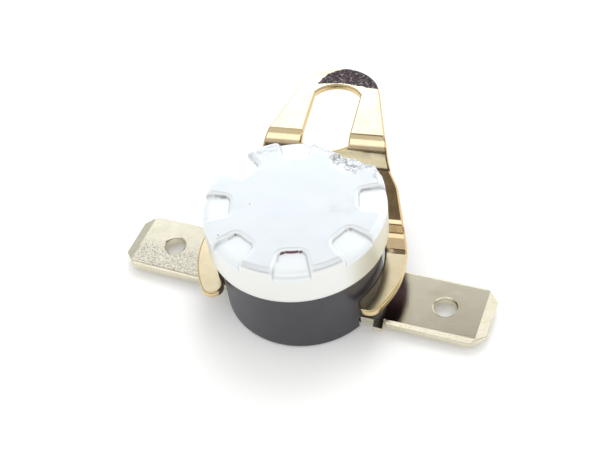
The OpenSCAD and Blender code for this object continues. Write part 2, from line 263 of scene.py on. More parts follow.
def profile(bm, corners):
    """Draws an open profile of (radius, height, rounding) corners in the XZ plane."""
    verts = [bm.verts.new((x, 0.0, z)) for x, z, _ in corners]
    for a, b in zip(verts, verts[1:]):
        bm.edges.new((a, b))
    for vert, (_, _, rounding) in zip(verts, corners):
        if rounding:
            round_off(bm, [vert], rounding, 10, affect="VERTICES")


def divide(bm, spacing):
    """Cuts each edge so that no piece is longer than spacing(its middle)."""
    groups = {}
    for edge in bm.edges:
        middle = (edge.verts[0].co + edge.verts[1].co) / 2
        cuts = math.ceil(edge.calc_length() / spacing(middle)) - 1
        if cuts > 0:
            groups.setdefault(cuts, []).append(edge)
    for cuts, edges in sorted(groups.items()):
        bmesh.ops.subdivide_edges(bm, edges=edges, cuts=cuts)


def lathe(bm, steps):
    """Turns the profile about the Z axis and closes the poles."""
    bmesh.ops.spin(bm, geom=bm.verts[:] + bm.edges[:], cent=(0.0, 0.0, 0.0), axis=(0.0, 0.0, 1.0),
                   dvec=(0.0, 0.0, 0.0), angle=2 * math.pi, steps=steps, use_merge=True,
                   use_normal_flip=False, use_duplicate=False)
    bmesh.ops.remove_doubles(bm, verts=bm.verts[:], dist=0.0005 * MM)
    bmesh.ops.recalc_face_normals(bm, faces=bm.faces[:])


def thicken(bm, depth):
    """Gives a flat mesh its thickness, upwards or downwards."""
    made = bmesh.ops.extrude_face_region(bm, geom=bm.faces[:])["geom"]
    bmesh.ops.translate(bm, vec=(0.0, 0.0, depth),
                        verts=[e for e in made if isinstance(e, bmesh.types.BMVert)])
    bmesh.ops.recalc_face_normals(bm, faces=bm.faces[:])


def slice_at(bm, axis, distance):
    """Cuts the mesh at a plane square to the X or Y axis, at a distance from the centre."""
    normal = Vector((axis == "X", axis == "Y", 0.0))
    bmesh.ops.bisect_plane(bm, geom=bm.verts[:] + bm.edges[:] + bm.faces[:], dist=0.0001 * MM,
                           plane_co=normal * distance, plane_no=normal)


def merge_flat(bm):
    """Merges the triangles of each flat face, so that big faces stay flat when they are shaded."""
    bmesh.ops.dissolve_limit(bm, angle_limit=math.radians(0.5), use_dissolve_boundaries=False,
                             verts=bm.verts[:], edges=bm.edges[:], delimit=set())


def turn_and_move(bm, turn, offset=(0.0, 0.0, 0.0)):
    """Turns the mesh about Z and then moves it."""
    place = Matrix.Translation(offset) @ Matrix.Rotation(turn, 4, "Z")
    bmesh.ops.transform(bm, matrix=place, verts=bm.verts[:])


def finish_piece(bm, name, material, body, node, sharp=math.radians(40)):
    """Makes an object of the mesh, with its finish, its body, and the CAD node that it stands for."""
    mesh = bpy.data.meshes.new(name)
    for face in bm.faces:
        face.smooth = True
    for edge in bm.edges:
        edge.smooth = edge.smooth and edge.calc_face_angle(0.0) < sharp
    bm.to_mesh(mesh)
    bm.free()
    piece = bpy.data.objects.new(name, mesh)
    bpy.context.scene.collection.objects.link(piece)
    mesh.materials.append(material)
    if body:
        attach(piece, body)
    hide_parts(node)
    return piece


def crisp_rims(bm):
    """Marks the rims of the level faces as sharp, so that they are shaded flat right up to their edges."""
    bm.normal_update()
    for edge in bm.edges:
        level = [abs(face.normal.z) > 0.999 for face in edge.link_faces]
        edge.smooth = all(level) or not any(level)


def soften(piece, width, limit=35.0):
    """Rounds the sharp edges of a piece and keeps its flat faces flat."""
    bevel = piece.modifiers.new("Soft edges", "BEVEL")
    bevel.width = width
    bevel.segments = 2
    bevel.limit_method = "ANGLE"
    bevel.angle_limit = math.radians(limit)
    flatten_shading(piece)


def flatten_shading(piece):
    """Shades the flat faces flat and keeps the soft shading to the rounded edges."""
    weights = piece.modifiers.new("Flat faces", "WEIGHTED_NORMAL")
    weights.keep_sharp = True
    weights.weight = 80


# Materials

def add_node(tree, kind, *values, out=0, stops=(), **settings):
    """Adds a node and gives one of its outputs, or all of them where out is None.

    Values go to its inputs in order, or by name or number where a value is a dict, and each is a number,
    a colour or the output it is linked from. Stops are a ramp's positions and shades.
    """
    node = tree.nodes.new("ShaderNode" + kind)
    for name, value in settings.items():
        setattr(node, name, value)
    elements = node.color_ramp.elements if stops else ()
    while len(elements) < len(stops):
        elements.new(1.0)
    for element, (position, shade) in zip(elements, stops):
        element.position = position
        element.color = shade if isinstance(shade, tuple) else (shade, shade, shade, 1.0)
    inputs = {}
    for number, value in enumerate(values):
        inputs.update(value if isinstance(value, dict) else {number: value})
    for key, value in inputs.items():
        if isinstance(value, bpy.types.NodeSocket):
            tree.links.new(value, node.inputs[key])
        else:
            node.inputs[key].default_value = value
    return node.outputs if out is None else node.outputs[out]


def new_finish(name):
    """New material, the function that adds a node to it, and the object coordinates."""
    material = bpy.data.materials.new(name)
    material.use_nodes = True
    material.node_tree.nodes.clear()
    add = partial(add_node, material.node_tree)
    return material, add, add("TexCoord", out="Object")


def per_mm(size):
    """Scale of a pattern whose patches are about this size in millimetres."""
    return 1.0 / (size * MM)


def coats(add, tone, *layers):
    """Lays coats of colour over a tone. A layer is its shade and the masks that all have to let it show."""
    for shade, mask, *others in layers:
        for other in others:
            mask = add("Math", mask, other, operation="MULTIPLY")
        shade = linear(shade) if isinstance(shade, str) else shade
        tone = add("Mix", {0: mask, 6: tone, 7: shade}, out=2, data_type="RGBA")
    return tone


def dress(add, tone, rough, *reliefs, **values):
    """Ends a material with its shader. A relief is a height and its depth in millimetres."""
    inputs = {"Base Color": tone, "Roughness": rough, **values}
    for height, depth in reliefs:
        below = {"Normal": inputs["Normal"]} if "Normal" in inputs else {}
        inputs["Normal"] = add("Bump", {"Height": height, "Distance": depth * MM, **below})
    add("OutputMaterial", add("BsdfPrincipled", inputs), out=None)


def satin_aluminium(shade):
    """Frosted aluminium, burnished and painted lighter where it was pressed, with draw marks and pits, a
    painted sheen on its side wall, and painted shade and a red-brown painted reflection at the foot of the
    pockets' walls.

    The frosting's grain is about 0.03 mm, too fine for the picture, and is drawn at 0.12 mm.
    """
    material, add, coords = new_finish("satin_aluminium")
    fine = add("TexNoise", coords, {"Scale": per_mm(0.12), "Detail": 3.0, "Roughness": 0.55})
    cloud = add("TexNoise", coords, {"Scale": per_mm(2.4), "Detail": 2.0, "Roughness": 0.55})
    # The pressed mask makes the pocket floors lighter, partly burnish and partly painted highlight, and the
    # bevel lighter as painted highlight
    pressed, damage, step_shade_and_reflection = (add("Attribute", out="Fac", attribute_name=name)
                             for name in ("pressed", "crumple", "step_shade_and_reflection"))
    level = add("Mapping", coords, {"Scale": (0.12, 0.12, 4.0)})
    streaks = add("TexNoise", level, {"Scale": per_mm(0.5), "Detail": 4.0, "Roughness": 0.55})
    drawn = add("ValToRGB", streaks, stops=((0.6, 0.0), (0.7, 0.3)))
    # Painted sheen: the side wall is painted lighter by its facing, and painted shade makes it warmer and
    # darker towards +X
    facing = add("SeparateXYZ", add("TexCoord", out="Normal"), out="Z")
    wall = add("ValToRGB", add("Math", facing, operation="ABSOLUTE"), stops=((0.25, 1.0), (0.5, 0.0)))
    warmth = add("MapRange", add("SeparateXYZ", coords, out="X"), 5.5 * MM, 7.6 * MM, 0.0, 0.8)
    creases = add("TexNoise", coords, {"Scale": per_mm(0.42), "Detail": 4.0, "Roughness": 0.6})
    worms = add("ValToRGB", creases, stops=((0.4, 0.15), (0.46, 0.85), (0.5, 0.85), (0.55, 0.05)))
    # grey is painted shade at the foot of every pocket's wall, red a red-brown painted reflection at some of
    # them
    grey = add("ValToRGB", step_shade_and_reflection, stops=((0.0, 0.0), (0.5, 0.55)))
    red = add("ValToRGB", step_shade_and_reflection, stops=((0.6, 0.0), (0.8, 0.95)))
    cells = add("TexVoronoi", coords, {"Scale": per_mm(2.6)}, out="Distance")
    pits = add("ValToRGB", cells, stops=((0.022, 1.0), (0.03, 0.0)))
    tone = coats(add, tuple(shade), ("#D6DEE3", cloud, 0.5), ("#B3B5B4", drawn), ("#ECEDE9", wall),
                 ("#D8D2B8", wall, warmth), ("#ECF1F3", pressed), ("#77757A", damage, worms),
                 ("#8C8D95", grey), ("#6A2A3C", red), ("#5C5A5E", pits))
    smooth = add("Math", pressed, damage, operation="MAXIMUM")
    metal = add("ValToRGB", smooth, stops=((0.0, 0.45), (1.0, 0.22)))
    dress(add, tone, add("MapRange", fine, 0.0, 1.0, 0.27, 0.4), (cloud, 0.02), (fine, 0.004), Metallic=metal)
    return material


def moulded_phenolic(shade):
    """Compression-moulded phenolic: near black and purplish, a dull gloss, pale dust in the scratches.

    The filler's grain is about 0.03 mm, too fine for the picture, and is drawn at 0.1 mm.
    """
    material, add, coords = new_finish("moulded_phenolic")
    filler = add("TexNoise", coords, {"Scale": per_mm(0.1), "Detail": 5.0, "Roughness": 0.65})
    cloud = add("TexNoise", coords, {"Scale": per_mm(1.8), "Detail": 3.0, "Roughness": 0.55})
    stretched = add("Mapping", coords, {"Scale": (0.5, 0.5, 3.0)})
    scratches = add("TexNoise", stretched, {"Scale": per_mm(0.35), "Detail": 5.0, "Roughness": 0.7})
    dust = add("ValToRGB", scratches, stops=((0.66, 0.0), (0.76, 0.45)))
    tone = coats(add, tuple(shade), ("#3F3D44", cloud), ("#8B8890", dust))
    dress(add, tone, add("MapRange", cloud, 0.0, 1.0, 0.3, 0.46), (filler, 0.006), IOR=1.58)
    return material


def satin_nickel(shade):
    """Barrel-plated nickel on brass: a fine open grain that sparkles, and a painted reflection of grey flecks
    on the left blade's front.

    The plating's grain is about 0.02 mm, too fine for the picture, and is drawn at 0.1 mm.
    """
    material, add, coords = new_finish("satin_nickel")
    open_grain = add("TexNoise", coords, {"Scale": per_mm(0.1), "Detail": 2.0, "Roughness": 0.55})
    cloud = add("TexNoise", coords, {"Scale": per_mm(1.5), "Detail": 2.0, "Roughness": 0.55})
    speckle = add("TexNoise", coords, {"Scale": per_mm(0.13), "Detail": 3.0, "Roughness": 0.7})
    specks = add("ValToRGB", speckle, stops=((0.36, 0.6), (0.42, 0.0)))
    reflection_speckle = add("TexNoise", coords, {"Scale": per_mm(0.16), "Detail": 4.0, "Roughness": 0.75})
    flecks = add("ValToRGB", reflection_speckle, stops=((0.43, 0.8), (0.5, 0.0)))
    place = add("SeparateXYZ", coords, out=None)
    facing = add("SeparateXYZ", add("TexCoord", out="Normal"), out="Z")
    across = add("Math", place["X"], 0.14, place["Y"], operation="MULTIPLY_ADD")
    left = add("Math", place["X"], -9.0 * MM, operation="LESS_THAN")
    level = add("Math", facing, 0.99, operation="GREATER_THAN")
    front = add("MapRange", across, 0.5 * MM, -0.9 * MM)
    # Painted reflection: grey flecks on the level top of the left blade's front half stand for a dark band
    # mirrored in its grain
    tone = coats(add, tuple(shade), ("#D6CFB4", cloud), ("#A8A493", specks),
                 ("#97969C", left, level, front, flecks))
    dress(add, tone, add("MapRange", open_grain, 0.0, 1.0, 0.07, 0.14), (open_grain, 0.009), Metallic=1.0)
    return material


def yellow_plating(shade, stain):
    """Yellow plating on bright steel strip: pale gold, browned by heat at the ear's tip and in the fork, with
    painted shade on the fork's underside and in the crease below the ear.

    The strip's rolling marks are about 0.05 mm apart, too fine for the picture, and are drawn at 0.3 mm.
    """
    material, add, coords = new_finish("yellow_plating")
    cloud = add("TexNoise", coords, {"Scale": per_mm(1.4), "Detail": 3.0, "Roughness": 0.55})
    along_ear = add("Mapping", coords, {"Scale": (1.0, 0.08, 1.0)})
    rolled = add("TexNoise", along_ear, {"Scale": per_mm(0.3), "Detail": 2.0, "Roughness": 0.55})
    place = add("SeparateXYZ", coords, out=None)
    heat = add("ValToRGB", add("MapRange", place["Y"], 0.0, 12.0 * MM), stops=(
        (0.108, 0.0), (0.133, 0.5), (0.38, 0.5), (0.44, 0.35), (0.82, 0.3), (0.85, 0.0)))
    sheared = add("Attribute", out="Fac", attribute_name="sheared")
    # Painted shade: a dark line along the concave crease at Y = 10 mm, at the foot of the ear's rise
    bend = add("Math", add("Math", place["Y"], 10.0 * MM, operation="SUBTRACT"), operation="ABSOLUTE")
    crease_shade = add("MapRange", bend, 0.05 * MM, 0.13 * MM, 0.9, 0.0)
    ragged = add("TexNoise", coords, {"Scale": per_mm(0.35), "Detail": 5.0, "Roughness": 0.7})
    burnt = burnt_patch(add, coords, place, ragged)
    blotches = add("TexNoise", coords, {"Scale": per_mm(0.26), "Detail": 5.0, "Roughness": 0.75})
    ash = add("ValToRGB", blotches, stops=((0.46, 0.0), (0.6, 0.75)))
    bare = add("ValToRGB", blotches, stops=((0.62, 0.0), (0.65, 0.95)))
    patch = coats(add, tuple(stain), ("#8E7F80", ash), ("#F0E6E0", bare))
    # Painted shade: the fork's underside is painted dark purple-brown
    facing = add("SeparateXYZ", add("TexCoord", out="Normal"), out="Z")
    underside = add("Math", facing, -0.4, operation="LESS_THAN")
    fork = add("Math", place["Y"], 9.0 * MM, operation="LESS_THAN")
    tone = coats(add, tuple(shade), ("#E9D6A8", cloud), ("#D8AC74", heat), ("#C4A565", sheared, 0.55),
                 ("#35271B", crease_shade), (patch, burnt), ("#54424A", underside, fork))
    rough = add("Mix", burnt, {2: add("MapRange", rolled, 0.0, 1.0, 0.1, 0.17), 3: 0.55})
    crust = add("Math", ragged, burnt, operation="MULTIPLY")
    dress(add, tone, rough, (cloud, 0.006), (crust, 0.05), Metallic=1.0)
    return material


def burnt_patch(add, coords, place, ragged):
    """Mask of the crescent between the slot's far end and the ear's right-hand edge."""
    centred = add("Mapping", coords, {"Location": (-0.75 * MM, -18.55 * MM, 0.0), "Scale": (1.0, 1.0, 0.0)})
    noisy = add("Math", ragged, 0.5 * MM, -0.25 * MM, operation="MULTIPLY_ADD")
    reach = add("Math", add("VectorMath", centred, out="Value", operation="LENGTH"), noisy, operation="ADD")
    aside = add("Math", place["X"], operation="ABSOLUTE")
    level = add("Math", aside, 0.14, place["Y"], operation="MULTIPLY_ADD")
    level = add("Math", level, noisy, operation="ADD")
    near = add("Math", reach, 3.05 * MM, operation="LESS_THAN")
    far = add("Math", level, 19.4 * MM, operation="GREATER_THAN")
    return add("Math", near, far, operation="MULTIPLY")


def plain_metal(name, shade, roughness, size):
    """Stamped or turned metal that is hidden inside: an even tone with tool marks.

    Real tool marks are about 0.05 mm wide, too fine for the picture, and are drawn at the size given.
    """
    material, add, coords = new_finish(name)
    marks = add("TexNoise", coords, {"Scale": per_mm(size), "Detail": 4.0, "Roughness": 0.55})
    darker = tuple(c * 0.72 for c in shade[:3]) + (1.0,)
    dress(add, coats(add, tuple(shade), (darker, marks, 0.5)),
          add("MapRange", marks, 0.0, 1.0, roughness * 0.8, roughness * 1.3), (marks, 0.003), Metallic=1.0)
    return material


def pressed_ceramic(shade):
    """Pressed and fired steatite: chalky and off white.

    Its pressed grain is about 0.02 mm, too fine for the picture, and is drawn at 0.08 mm.
    """
    material, add, coords = new_finish("pressed_ceramic")
    powder = add("TexNoise", coords, {"Scale": per_mm(0.08), "Detail": 5.0, "Roughness": 0.55})
    dress(add, coats(add, tuple(shade), ("#CFC8B8", powder, 0.5)),
          add("MapRange", powder, 0.0, 1.0, 0.5, 0.7), (powder, 0.005), IOR=1.6)
    return material


def brown_laminate(shade):
    """Moulded brown phenolic of the guide plate: dull, with 0.2 mm flecks of its wood-flour filler."""
    material, add, coords = new_finish("brown_laminate")
    flour = add("TexNoise", coords, {"Scale": per_mm(0.2), "Detail": 5.0, "Roughness": 0.7})
    dress(add, coats(add, tuple(shade), ("#6B4A36", flour)),
          add("MapRange", flour, 0.0, 1.0, 0.4, 0.6), (flour, 0.005), IOR=1.58)
    return material


# Cap

# Radius of the flat that no pocket reaches, and how far down the wall a pocket's pull is felt
FLAT_RADIUS, PULL = 4.6 * MM, 1.8 * MM
# Where a red-brown painted reflection lies at the foot of a pocket's wall: from and to along it, from and to
# across it in mm, and how strong it is
RED_STEP_REFLECTIONS = {0: (0.1, 1.0, 0.5, 2.0, 0.72), 4: (0.3, 1.4, -2.0, -0.5, 0.66), 5: (-0.5, 0.25, -2.0, -1.0, 0.85),
          6: (-0.5, 0.25, -0.95, 0.95, 0.95), 7: (-0.5, 0.25, 1.0, 2.0, 0.85)}
NO_RED_REFLECTION = (0.0, 0.0, 0.0, 0.0, 0.0)
# Direction in degrees in which the bevel between the pockets gets no painted highlight; away from it the
# bevel is painted lighter
UNHIGHLIGHTED_BEVEL = 281.0
# How far the damaged rim is pushed in, in mm, by its direction in degrees
RIM_DENT = ((22, 0.0), (30, -0.12), (42, -0.18), (50, 0.0), (60, 0.3), (68, 0.62), (76, 0.72), (84, 0.5),
            (91, 0.15), (98, 0.0))
# Crushed, frayed and nicked rim: share, directions in degrees, radii in mm, and depths below the top in mm
CRUMPLED = ((1.0, (44, 68, 5), (5.7, 6.1), (0.9, 1.5)), (0.55, (30, 97, 6), (7.0, 7.5), (0.3, 1.0)),
            (0.3, (112, 134, 8), (6.2, 7.2), (0.3, 1.0)))


def pocket_depth(settings, x, y, grow):
    """How far a point is inside a pocket that points along +X, from 1 on its floor to 0 outside."""
    half = settings.pocket_width / 2 + (x - settings.pocket_start) * math.tan(settings.pocket_splay)
    corner = 0.4 * MM
    across = abs(y) - half + corner
    along = settings.pocket_start + corner - x
    outside = math.hypot(max(across, 0.0), max(along, 0.0)) + min(max(across, along), 0.0) - corner - grow
    total = 0.0
    for shift in (-0.02, 0.0, 0.02):
        t = min(max((outside + shift * MM) / settings.pocket_shoulder, 0.0), 1.0)
        total += 1.0 - math.sqrt(max(1.0 - (1.0 - t) ** 2, 0.0))
    return total / 3.0


def step_shade_at(settings, number, x, y):
    """How much painted shade and reflection the foot of a pocket's wall gets: grey painted shade all round,
    and a red-brown painted reflection where listed.
    """
    start, end, left, right, strength = RED_STEP_REFLECTIONS.get(number % settings.pockets, NO_RED_REFLECTION)
    return strength if start < (x - settings.pocket_start) / MM < end and left < y / MM < right else 0.45


def pocket_frame(settings, co):
    """Number of the nearest pocket, and the place of a point as if that pocket pointed along +X."""
    pitch = 2 * math.pi / settings.pockets
    azimuth = math.atan2(co.y, co.x) - settings.pocket_turn
    number = round(azimuth / pitch)
    radius = math.hypot(co.x, co.y)
    return number, radius * math.cos(azimuth - number * pitch), radius * math.sin(azimuth - number * pitch)


def press_pockets(settings, co):
    """New height of a point of the cap, how much it was pressed and painted lighter, and its painted shade
    and reflection at the pocket wall's foot.
    """
    outer, top = CAP_HIGH.x, CAP_HIGH.z
    radius = math.hypot(co.x, co.y)
    reach = top - PULL
    if radius < FLAT_RADIUS or co.z < reach:
        return co.z, 0.0, 0.0
    number, x, y = pocket_frame(settings, co)
    slack = 0.01 * MM
    inside = radius < outer - settings.wall + slack and co.z < top - settings.wall + slack
    depth = pocket_depth(settings, x, y, settings.wall if inside else 0.0)
    fall = settings.pocket_step + (radius - settings.pocket_start) * math.tan(settings.pocket_slope)
    shoulder = top - settings.bevel
    share = min(max((radius - outer + settings.pocket_edge) / settings.pocket_edge, 0.0), 1.0)
    drop = settings.pocket_drop * (1.0 - math.sqrt(1.0 - share * share))
    if inside:
        target = co.z - fall * smooth_step(reach, shoulder, co.z)
    elif radius < outer - TINY:
        target = top - fall - drop
    else:
        target = co.z + (settings.bevel - fall - drop) * smooth_step(reach, shoulder, co.z)
    # Painted shade at the foot of the pocket's wall, grey all round, and a red-brown painted reflection where
    # listed
    step_shade_and_reflection = step_shade_at(settings, number, x, y)
    step_shade_and_reflection *= window(0.4 if step_shade_and_reflection > 0.5 else 0.5, 0.95, 0.04, depth)
    # Pocket floors are burnished and painted lighter as painted highlight; the bevel gets a painted highlight
    # except in the direction given above
    pressed = smooth_step(0.0, 0.12, depth)
    front = math.cos(math.atan2(co.y, co.x) - math.radians(UNHIGHLIGHTED_BEVEL))
    if radius > outer - settings.bevel - 0.02 * MM:
        pressed = max(pressed, 1.0 - smooth_step(0.55, 0.8, front))
    fade = smooth_step(top - 1.0 * MM, top - 0.5 * MM, co.z)
    return co.z + (target - co.z) * depth, pressed * fade, step_shade_and_reflection * fade


def along(table, value):
    """Value of a table of points, joined by straight lines."""
    if value <= table[0][0] or value >= table[-1][0]:
        return 0.0
    for (a, low), (b, high) in zip(table, table[1:]):
        if a <= value <= b:
            return low + (high - low) * (value - a) / (b - a)


def crumple(settings, co):
    """Movement of a point of the damaged rim, and the weight of its darker, less metallic marks, highest in
    the hollows between the crumples' ridges.
    """
    radius = math.hypot(co.x, co.y) / MM
    azimuth = math.degrees(math.atan2(co.y, co.x))
    below = (CAP_HIGH.z - co.z) / MM
    rim = smooth_step(6.2, 7.6, radius) * (1.0 - smooth_step(0.9, 2.6, below))
    weight = 0.0
    for share, (first, last, soft), (low, high), (near, far) in CRUMPLED:
        weight += share * window(first, last, soft, azimuth) * smooth_step(low, high, radius) * (
            1.0 - smooth_step(near, far, below))
    weight = min(weight, 1.0)
    dent = along(RIM_DENT, azimuth)
    inward = Vector((-co.x, -co.y, 0.0)).normalized()
    move = inward * (dent * rim * MM) + Vector((0.0, 0.0, -0.35 * max(dent, 0.0) * rim * MM))
    if weight <= 0.0:
        return move, 0.0
    point = co / MM
    folds = noise.ridged_multi_fractal(point * 1.5, 0.9, 2.1, 3, 0.9, 2.0) - 1.0
    rough = noise.turbulence_vector(point * 1.4, 2, False)
    move += Vector((0.0, 0.0, 1.0)) * (folds * settings.crease * weight)
    move += rough * (settings.crease * 0.8 * weight)
    return move, weight * (1.0 - 0.8 * smooth_step(-0.4, 0.6, folds))


class SWITCH_OT_cap(Operator):
    """Model the crimped cap with its pressed pockets and damaged rim"""

    bl_idname = "thermal_switch.cap"
    bl_label = "Cap"

    def execute(self, context):
        settings = scene_settings("switch_cap")
        # Without a seed the turbulence in crumple() starts from the clock and differs from run to run
        noise.seed_set(settings.seed)
        outer, top, lip = CAP_HIGH.x, CAP_HIGH.z, CAP_LOW.z
        inner = outer - settings.wall
        seat = lip + settings.wall
        throat = BASE_RADIUS + 0.05 * MM
        ceiling, reach = top - settings.wall, top - PULL
        bm = bmesh.new()
        profile(bm, [
            (0.0, top, 0.0), (5.0 * MM, top, 0.0), (outer - settings.bevel, top, 0.06 * MM),
            (outer - 0.1 * MM, top - 0.22 * MM, 0.1 * MM), (outer, top - settings.bevel, 0.1 * MM),
            (outer, reach, 0.0), (outer, lip, settings.wall * 0.9), (throat, lip, 0.0),
            (throat, seat, 0.0), (inner, seat, 0.0), (inner, reach, 0.0),
            (inner, ceiling, 0.25 * MM), (FLAT_RADIUS, ceiling, 0.0), (0.0, ceiling, 0.0)])

        def spacing(middle):
            """Fine where the pockets are pressed, coarse elsewhere."""
            if middle.z < ceiling + 0.01 * MM and middle.x < inner + 0.01 * MM:
                return 0.11 * MM if middle.z > reach and middle.x > FLAT_RADIUS else 0.7 * MM
            if middle.x < 5.0 * MM and middle.z > seat:
                return 0.28 * MM
            if 5.1 * MM < middle.x < 5.7 * MM and middle.z > seat:
                return 0.035 * MM
            return 0.06 * MM if middle.z > reach else 0.16 * MM

        divide(bm, spacing)
        lathe(bm, 480)
        for name in ("crumple", "pressed", "step_shade_and_reflection"):
            bm.verts.layers.float.new(name)
        crumpled, pressed, step_shade_and_reflection = bm.verts.layers.float.values()
        for vert in bm.verts:
            vert.co.z, vert[pressed], vert[step_shade_and_reflection] = press_pockets(settings, vert.co)
            move, vert[crumpled] = crumple(settings, vert.co)
            vert.co += move
            vert.co.z += noise.noise(vert.co / (2.2 * MM)) * 0.012 * MM
        finish_piece(bm, "crimped_cap", satin_aluminium(settings.surface), "switch", "cap",
                     sharp=math.pi)
        return {"FINISHED"}


# Base

class SWITCH_OT_base(Operator):
    """Model the moulded base with the blades' channels and its barrier rib"""

    bl_idname = "thermal_switch.base"
    bl_label = "Base"

    def execute(self, context):
        settings = scene_settings("switch_base")
        blade = scene_settings("switch_blades")
        flange, top = BASE_HIGH.x, BASE_HIGH.z
        shoulder = CAP_LOW.z + scene_settings("switch_cap").wall
        bm = bmesh.new()
        profile(bm, [
            (0.0, 0.0, 0.0), (BASE_RADIUS, 0.0, settings.foot), (BASE_RADIUS, shoulder, 0.0),
            (flange, shoulder, 0.1 * MM), (flange, top, 0.0), (settings.chamber, top, 0.0),
            (settings.chamber, settings.floor, 0.3 * MM), (0.0, settings.floor, 0.0)])
        divide(bm, lambda middle: 0.8 * MM)
        lathe(bm, 256)
        base = finish_piece(bm, "moulded_base", moulded_phenolic(settings.surface), "switch", "base")
        wide = blade.width + 2 * settings.channel_gap
        cutter = bmesh.new()
        for side in (0.0, math.pi):
            made = bmesh.ops.create_cube(cutter, size=1.0)["verts"]
            bmesh.ops.scale(cutter, vec=(BASE_RADIUS, wide, 2 * settings.channel_depth), verts=made)
            bmesh.ops.translate(cutter, vec=((settings.rib + BASE_RADIUS) / 2, 0.0, 0.0), verts=made)
            bmesh.ops.transform(cutter, matrix=Matrix.Rotation(blade.turn + side, 4, "Z"), verts=made)
        cut(base, cutter)
        soften(base, 0.08 * MM, limit=45.0)
        return {"FINISHED"}


def cut(piece, cutter):
    """Cuts the shape of the cutter's mesh out of a piece."""
    mesh = bpy.data.meshes.new("cutter")
    cutter.to_mesh(mesh)
    cutter.free()
    tool = bpy.data.objects.new("cutter", mesh)
    bpy.context.scene.collection.objects.link(tool)
    boolean = piece.modifiers.new("Cut", "BOOLEAN")
    boolean.operation = "DIFFERENCE"
    boolean.solver = "EXACT"
    boolean.object = tool
    graph = bpy.context.evaluated_depsgraph_get()
    result = bpy.data.meshes.new_from_object(piece.evaluated_get(graph), depsgraph=graph)
    piece.modifiers.remove(boolean)
    piece.data = result
    bpy.data.objects.remove(tool)


# Blades

class SWITCH_OT_blades(Operator):
    """Model both push-on blades with rolled-over edges, coined tips and stop tabs"""

    bl_idname = "thermal_switch.blades"
    bl_label = "Blades"

    def execute(self, context):
        settings = scene_settings("switch_blades")
        material = satin_nickel(settings.surface)
        for name, node, turn in (("right_push_on_blade", "right_blade", 0.0),
                                 ("left_push_on_blade", "left_blade", math.pi)):
            bm = blade_mesh(settings)
            turn_and_move(bm, settings.turn + turn)
            blade = finish_piece(bm, name, material, "switch", node)
            soften(blade, 0.05 * MM)
        return {"FINISHED"}


def blade_mesh(settings):
    """Blade pointing along +X: an outline given its thickness, then coined and rolled over at its edges."""
    half, low = settings.width / 2, settings.lift
    middle, top = low + settings.thickness / 2, low + settings.thickness
    tip, root, chamfer = settings.tip, settings.root, settings.chamfer
    tab, tab_end, notch = 7.7 * MM, 8.6 * MM, 8.75 * MM
    reach, relief = half + 0.5 * MM, half - 0.35 * MM
    bm = bmesh.new()
    start = bm.verts.new((root, -half, low))
    last = trace(bm, start, *((x, y, low) for x, y in (
        (tab, -half), (tab, -reach), (tab_end, -reach), (tab_end, -relief), (notch, -relief), (notch, -half),
        (tip - chamfer, -half), (tip, chamfer - half), (tip, half - chamfer), (tip - chamfer, half),
        (root, half))))
    bm.edges.new((last, start))
    for x, radius in ((settings.hole_at, settings.hole / 2), (RIVET_AT, RIVET_HOLE)):
        bmesh.ops.create_circle(bm, cap_ends=False, segments=64, radius=radius,
                                matrix=Matrix.Translation((x, 0.0, low)))
    bmesh.ops.triangle_fill(bm, use_beauty=True, use_dissolve=False, edges=bm.edges[:])
    thicken(bm, settings.thickness)
    merge_flat(bm)
    slack = 0.01 * MM
    for width, chosen in (
            (settings.roll_over, lambda x, y: y < slack - half and x > notch - slack),
            (0.3 * MM, lambda x, y: y > half - slack),
            (0.14 * MM, lambda x, y: abs(math.hypot(x - settings.hole_at, y) - settings.hole / 2) < slack)):
        edges = [e for e in bm.edges if e.calc_face_angle(0.0) > 0.8
                 and all(v.co.z > middle and chosen(v.co.x, v.co.y) for v in e.verts)]
        round_off(bm, edges, width, 1)
    coin = tip - settings.lead_in
    slice_at(bm, "X", coin)
    crisp_rims(bm)
    for edge in bm.edges:
        if all(abs(vert.co.x - coin) < TINY for vert in edge.verts):
            edge.smooth = False
    for vert in bm.verts:
        if vert.co.z > low + 0.1 * MM:
            vert.co.z = top - (top - vert.co.z) * (0.54 if vert.co.y < -half / 2 else 0.63)
        if vert.co.x > coin:
            share = (vert.co.x - coin) / settings.lead_in
            vert.co.z -= math.copysign(settings.lead_depth * share, vert.co.z - middle)
        if vert.co.y < -half - 0.1 * MM:
            vert.co.z = low - 0.02 * MM if vert.co.z < middle else low + 0.42 * MM
            vert.co.x += 0.05 * MM
    return bm


# Bracket

# Side view of the bracket's upper face: places along Y, heights, and the radii of the bends there, in mm
SIDE = ((-10.0, 4.4, 0.0), (1.2, 4.4, 0.3), (1.6, 4.5, 0.4), (2.85, 4.55, 1.0), (3.5, 4.527, 0.6),
        (4.2, 4.83, 0.6), (4.85, 4.8, 0.8), (10.0, 5.88, 0.06), (10.5, 6.54, 3.0), (11.0, 7.13, 3.0),
        (11.4, 7.49, 2.0), (11.85, 7.8, 2.0), (12.3, 8.0, 0.75), (20.3, 8.0, 3.0), (23.0, 8.1, 0.0))


def side_point(y):
    """Height and slope of the bracket's upper face at a distance along Y, in millimetres and radians."""
    for (y0, z0, _), (y1, z1, radius), (y2, z2, _) in zip(SIDE, SIDE[1:], SIDE[2:]):
        first, second = math.atan2(z1 - z0, y1 - y0), math.atan2(z2 - z1, y2 - y1)
        side = math.copysign(1.0, second - first)
        back = radius * math.tan(abs(second - first) / 2)
        start, end = y1 - back * math.cos(first), y1 + back * math.cos(second)
        if start <= y <= end:
            centre_y = start - side * radius * math.sin(first)
            centre_z = z1 - back * math.sin(first) + side * radius * math.cos(first)
            slope = side * math.asin(max(min((y - centre_y) / radius, 1.0), -1.0))
            return centre_z - side * radius * math.cos(slope), slope
    for (y0, z0, _), (y1, z1, _) in zip(SIDE, SIDE[1:]):
        if y0 <= y <= y1:
            return z0 + (z1 - z0) * (y - y0) / (y1 - y0), math.atan2(z1 - z0, y1 - y0)


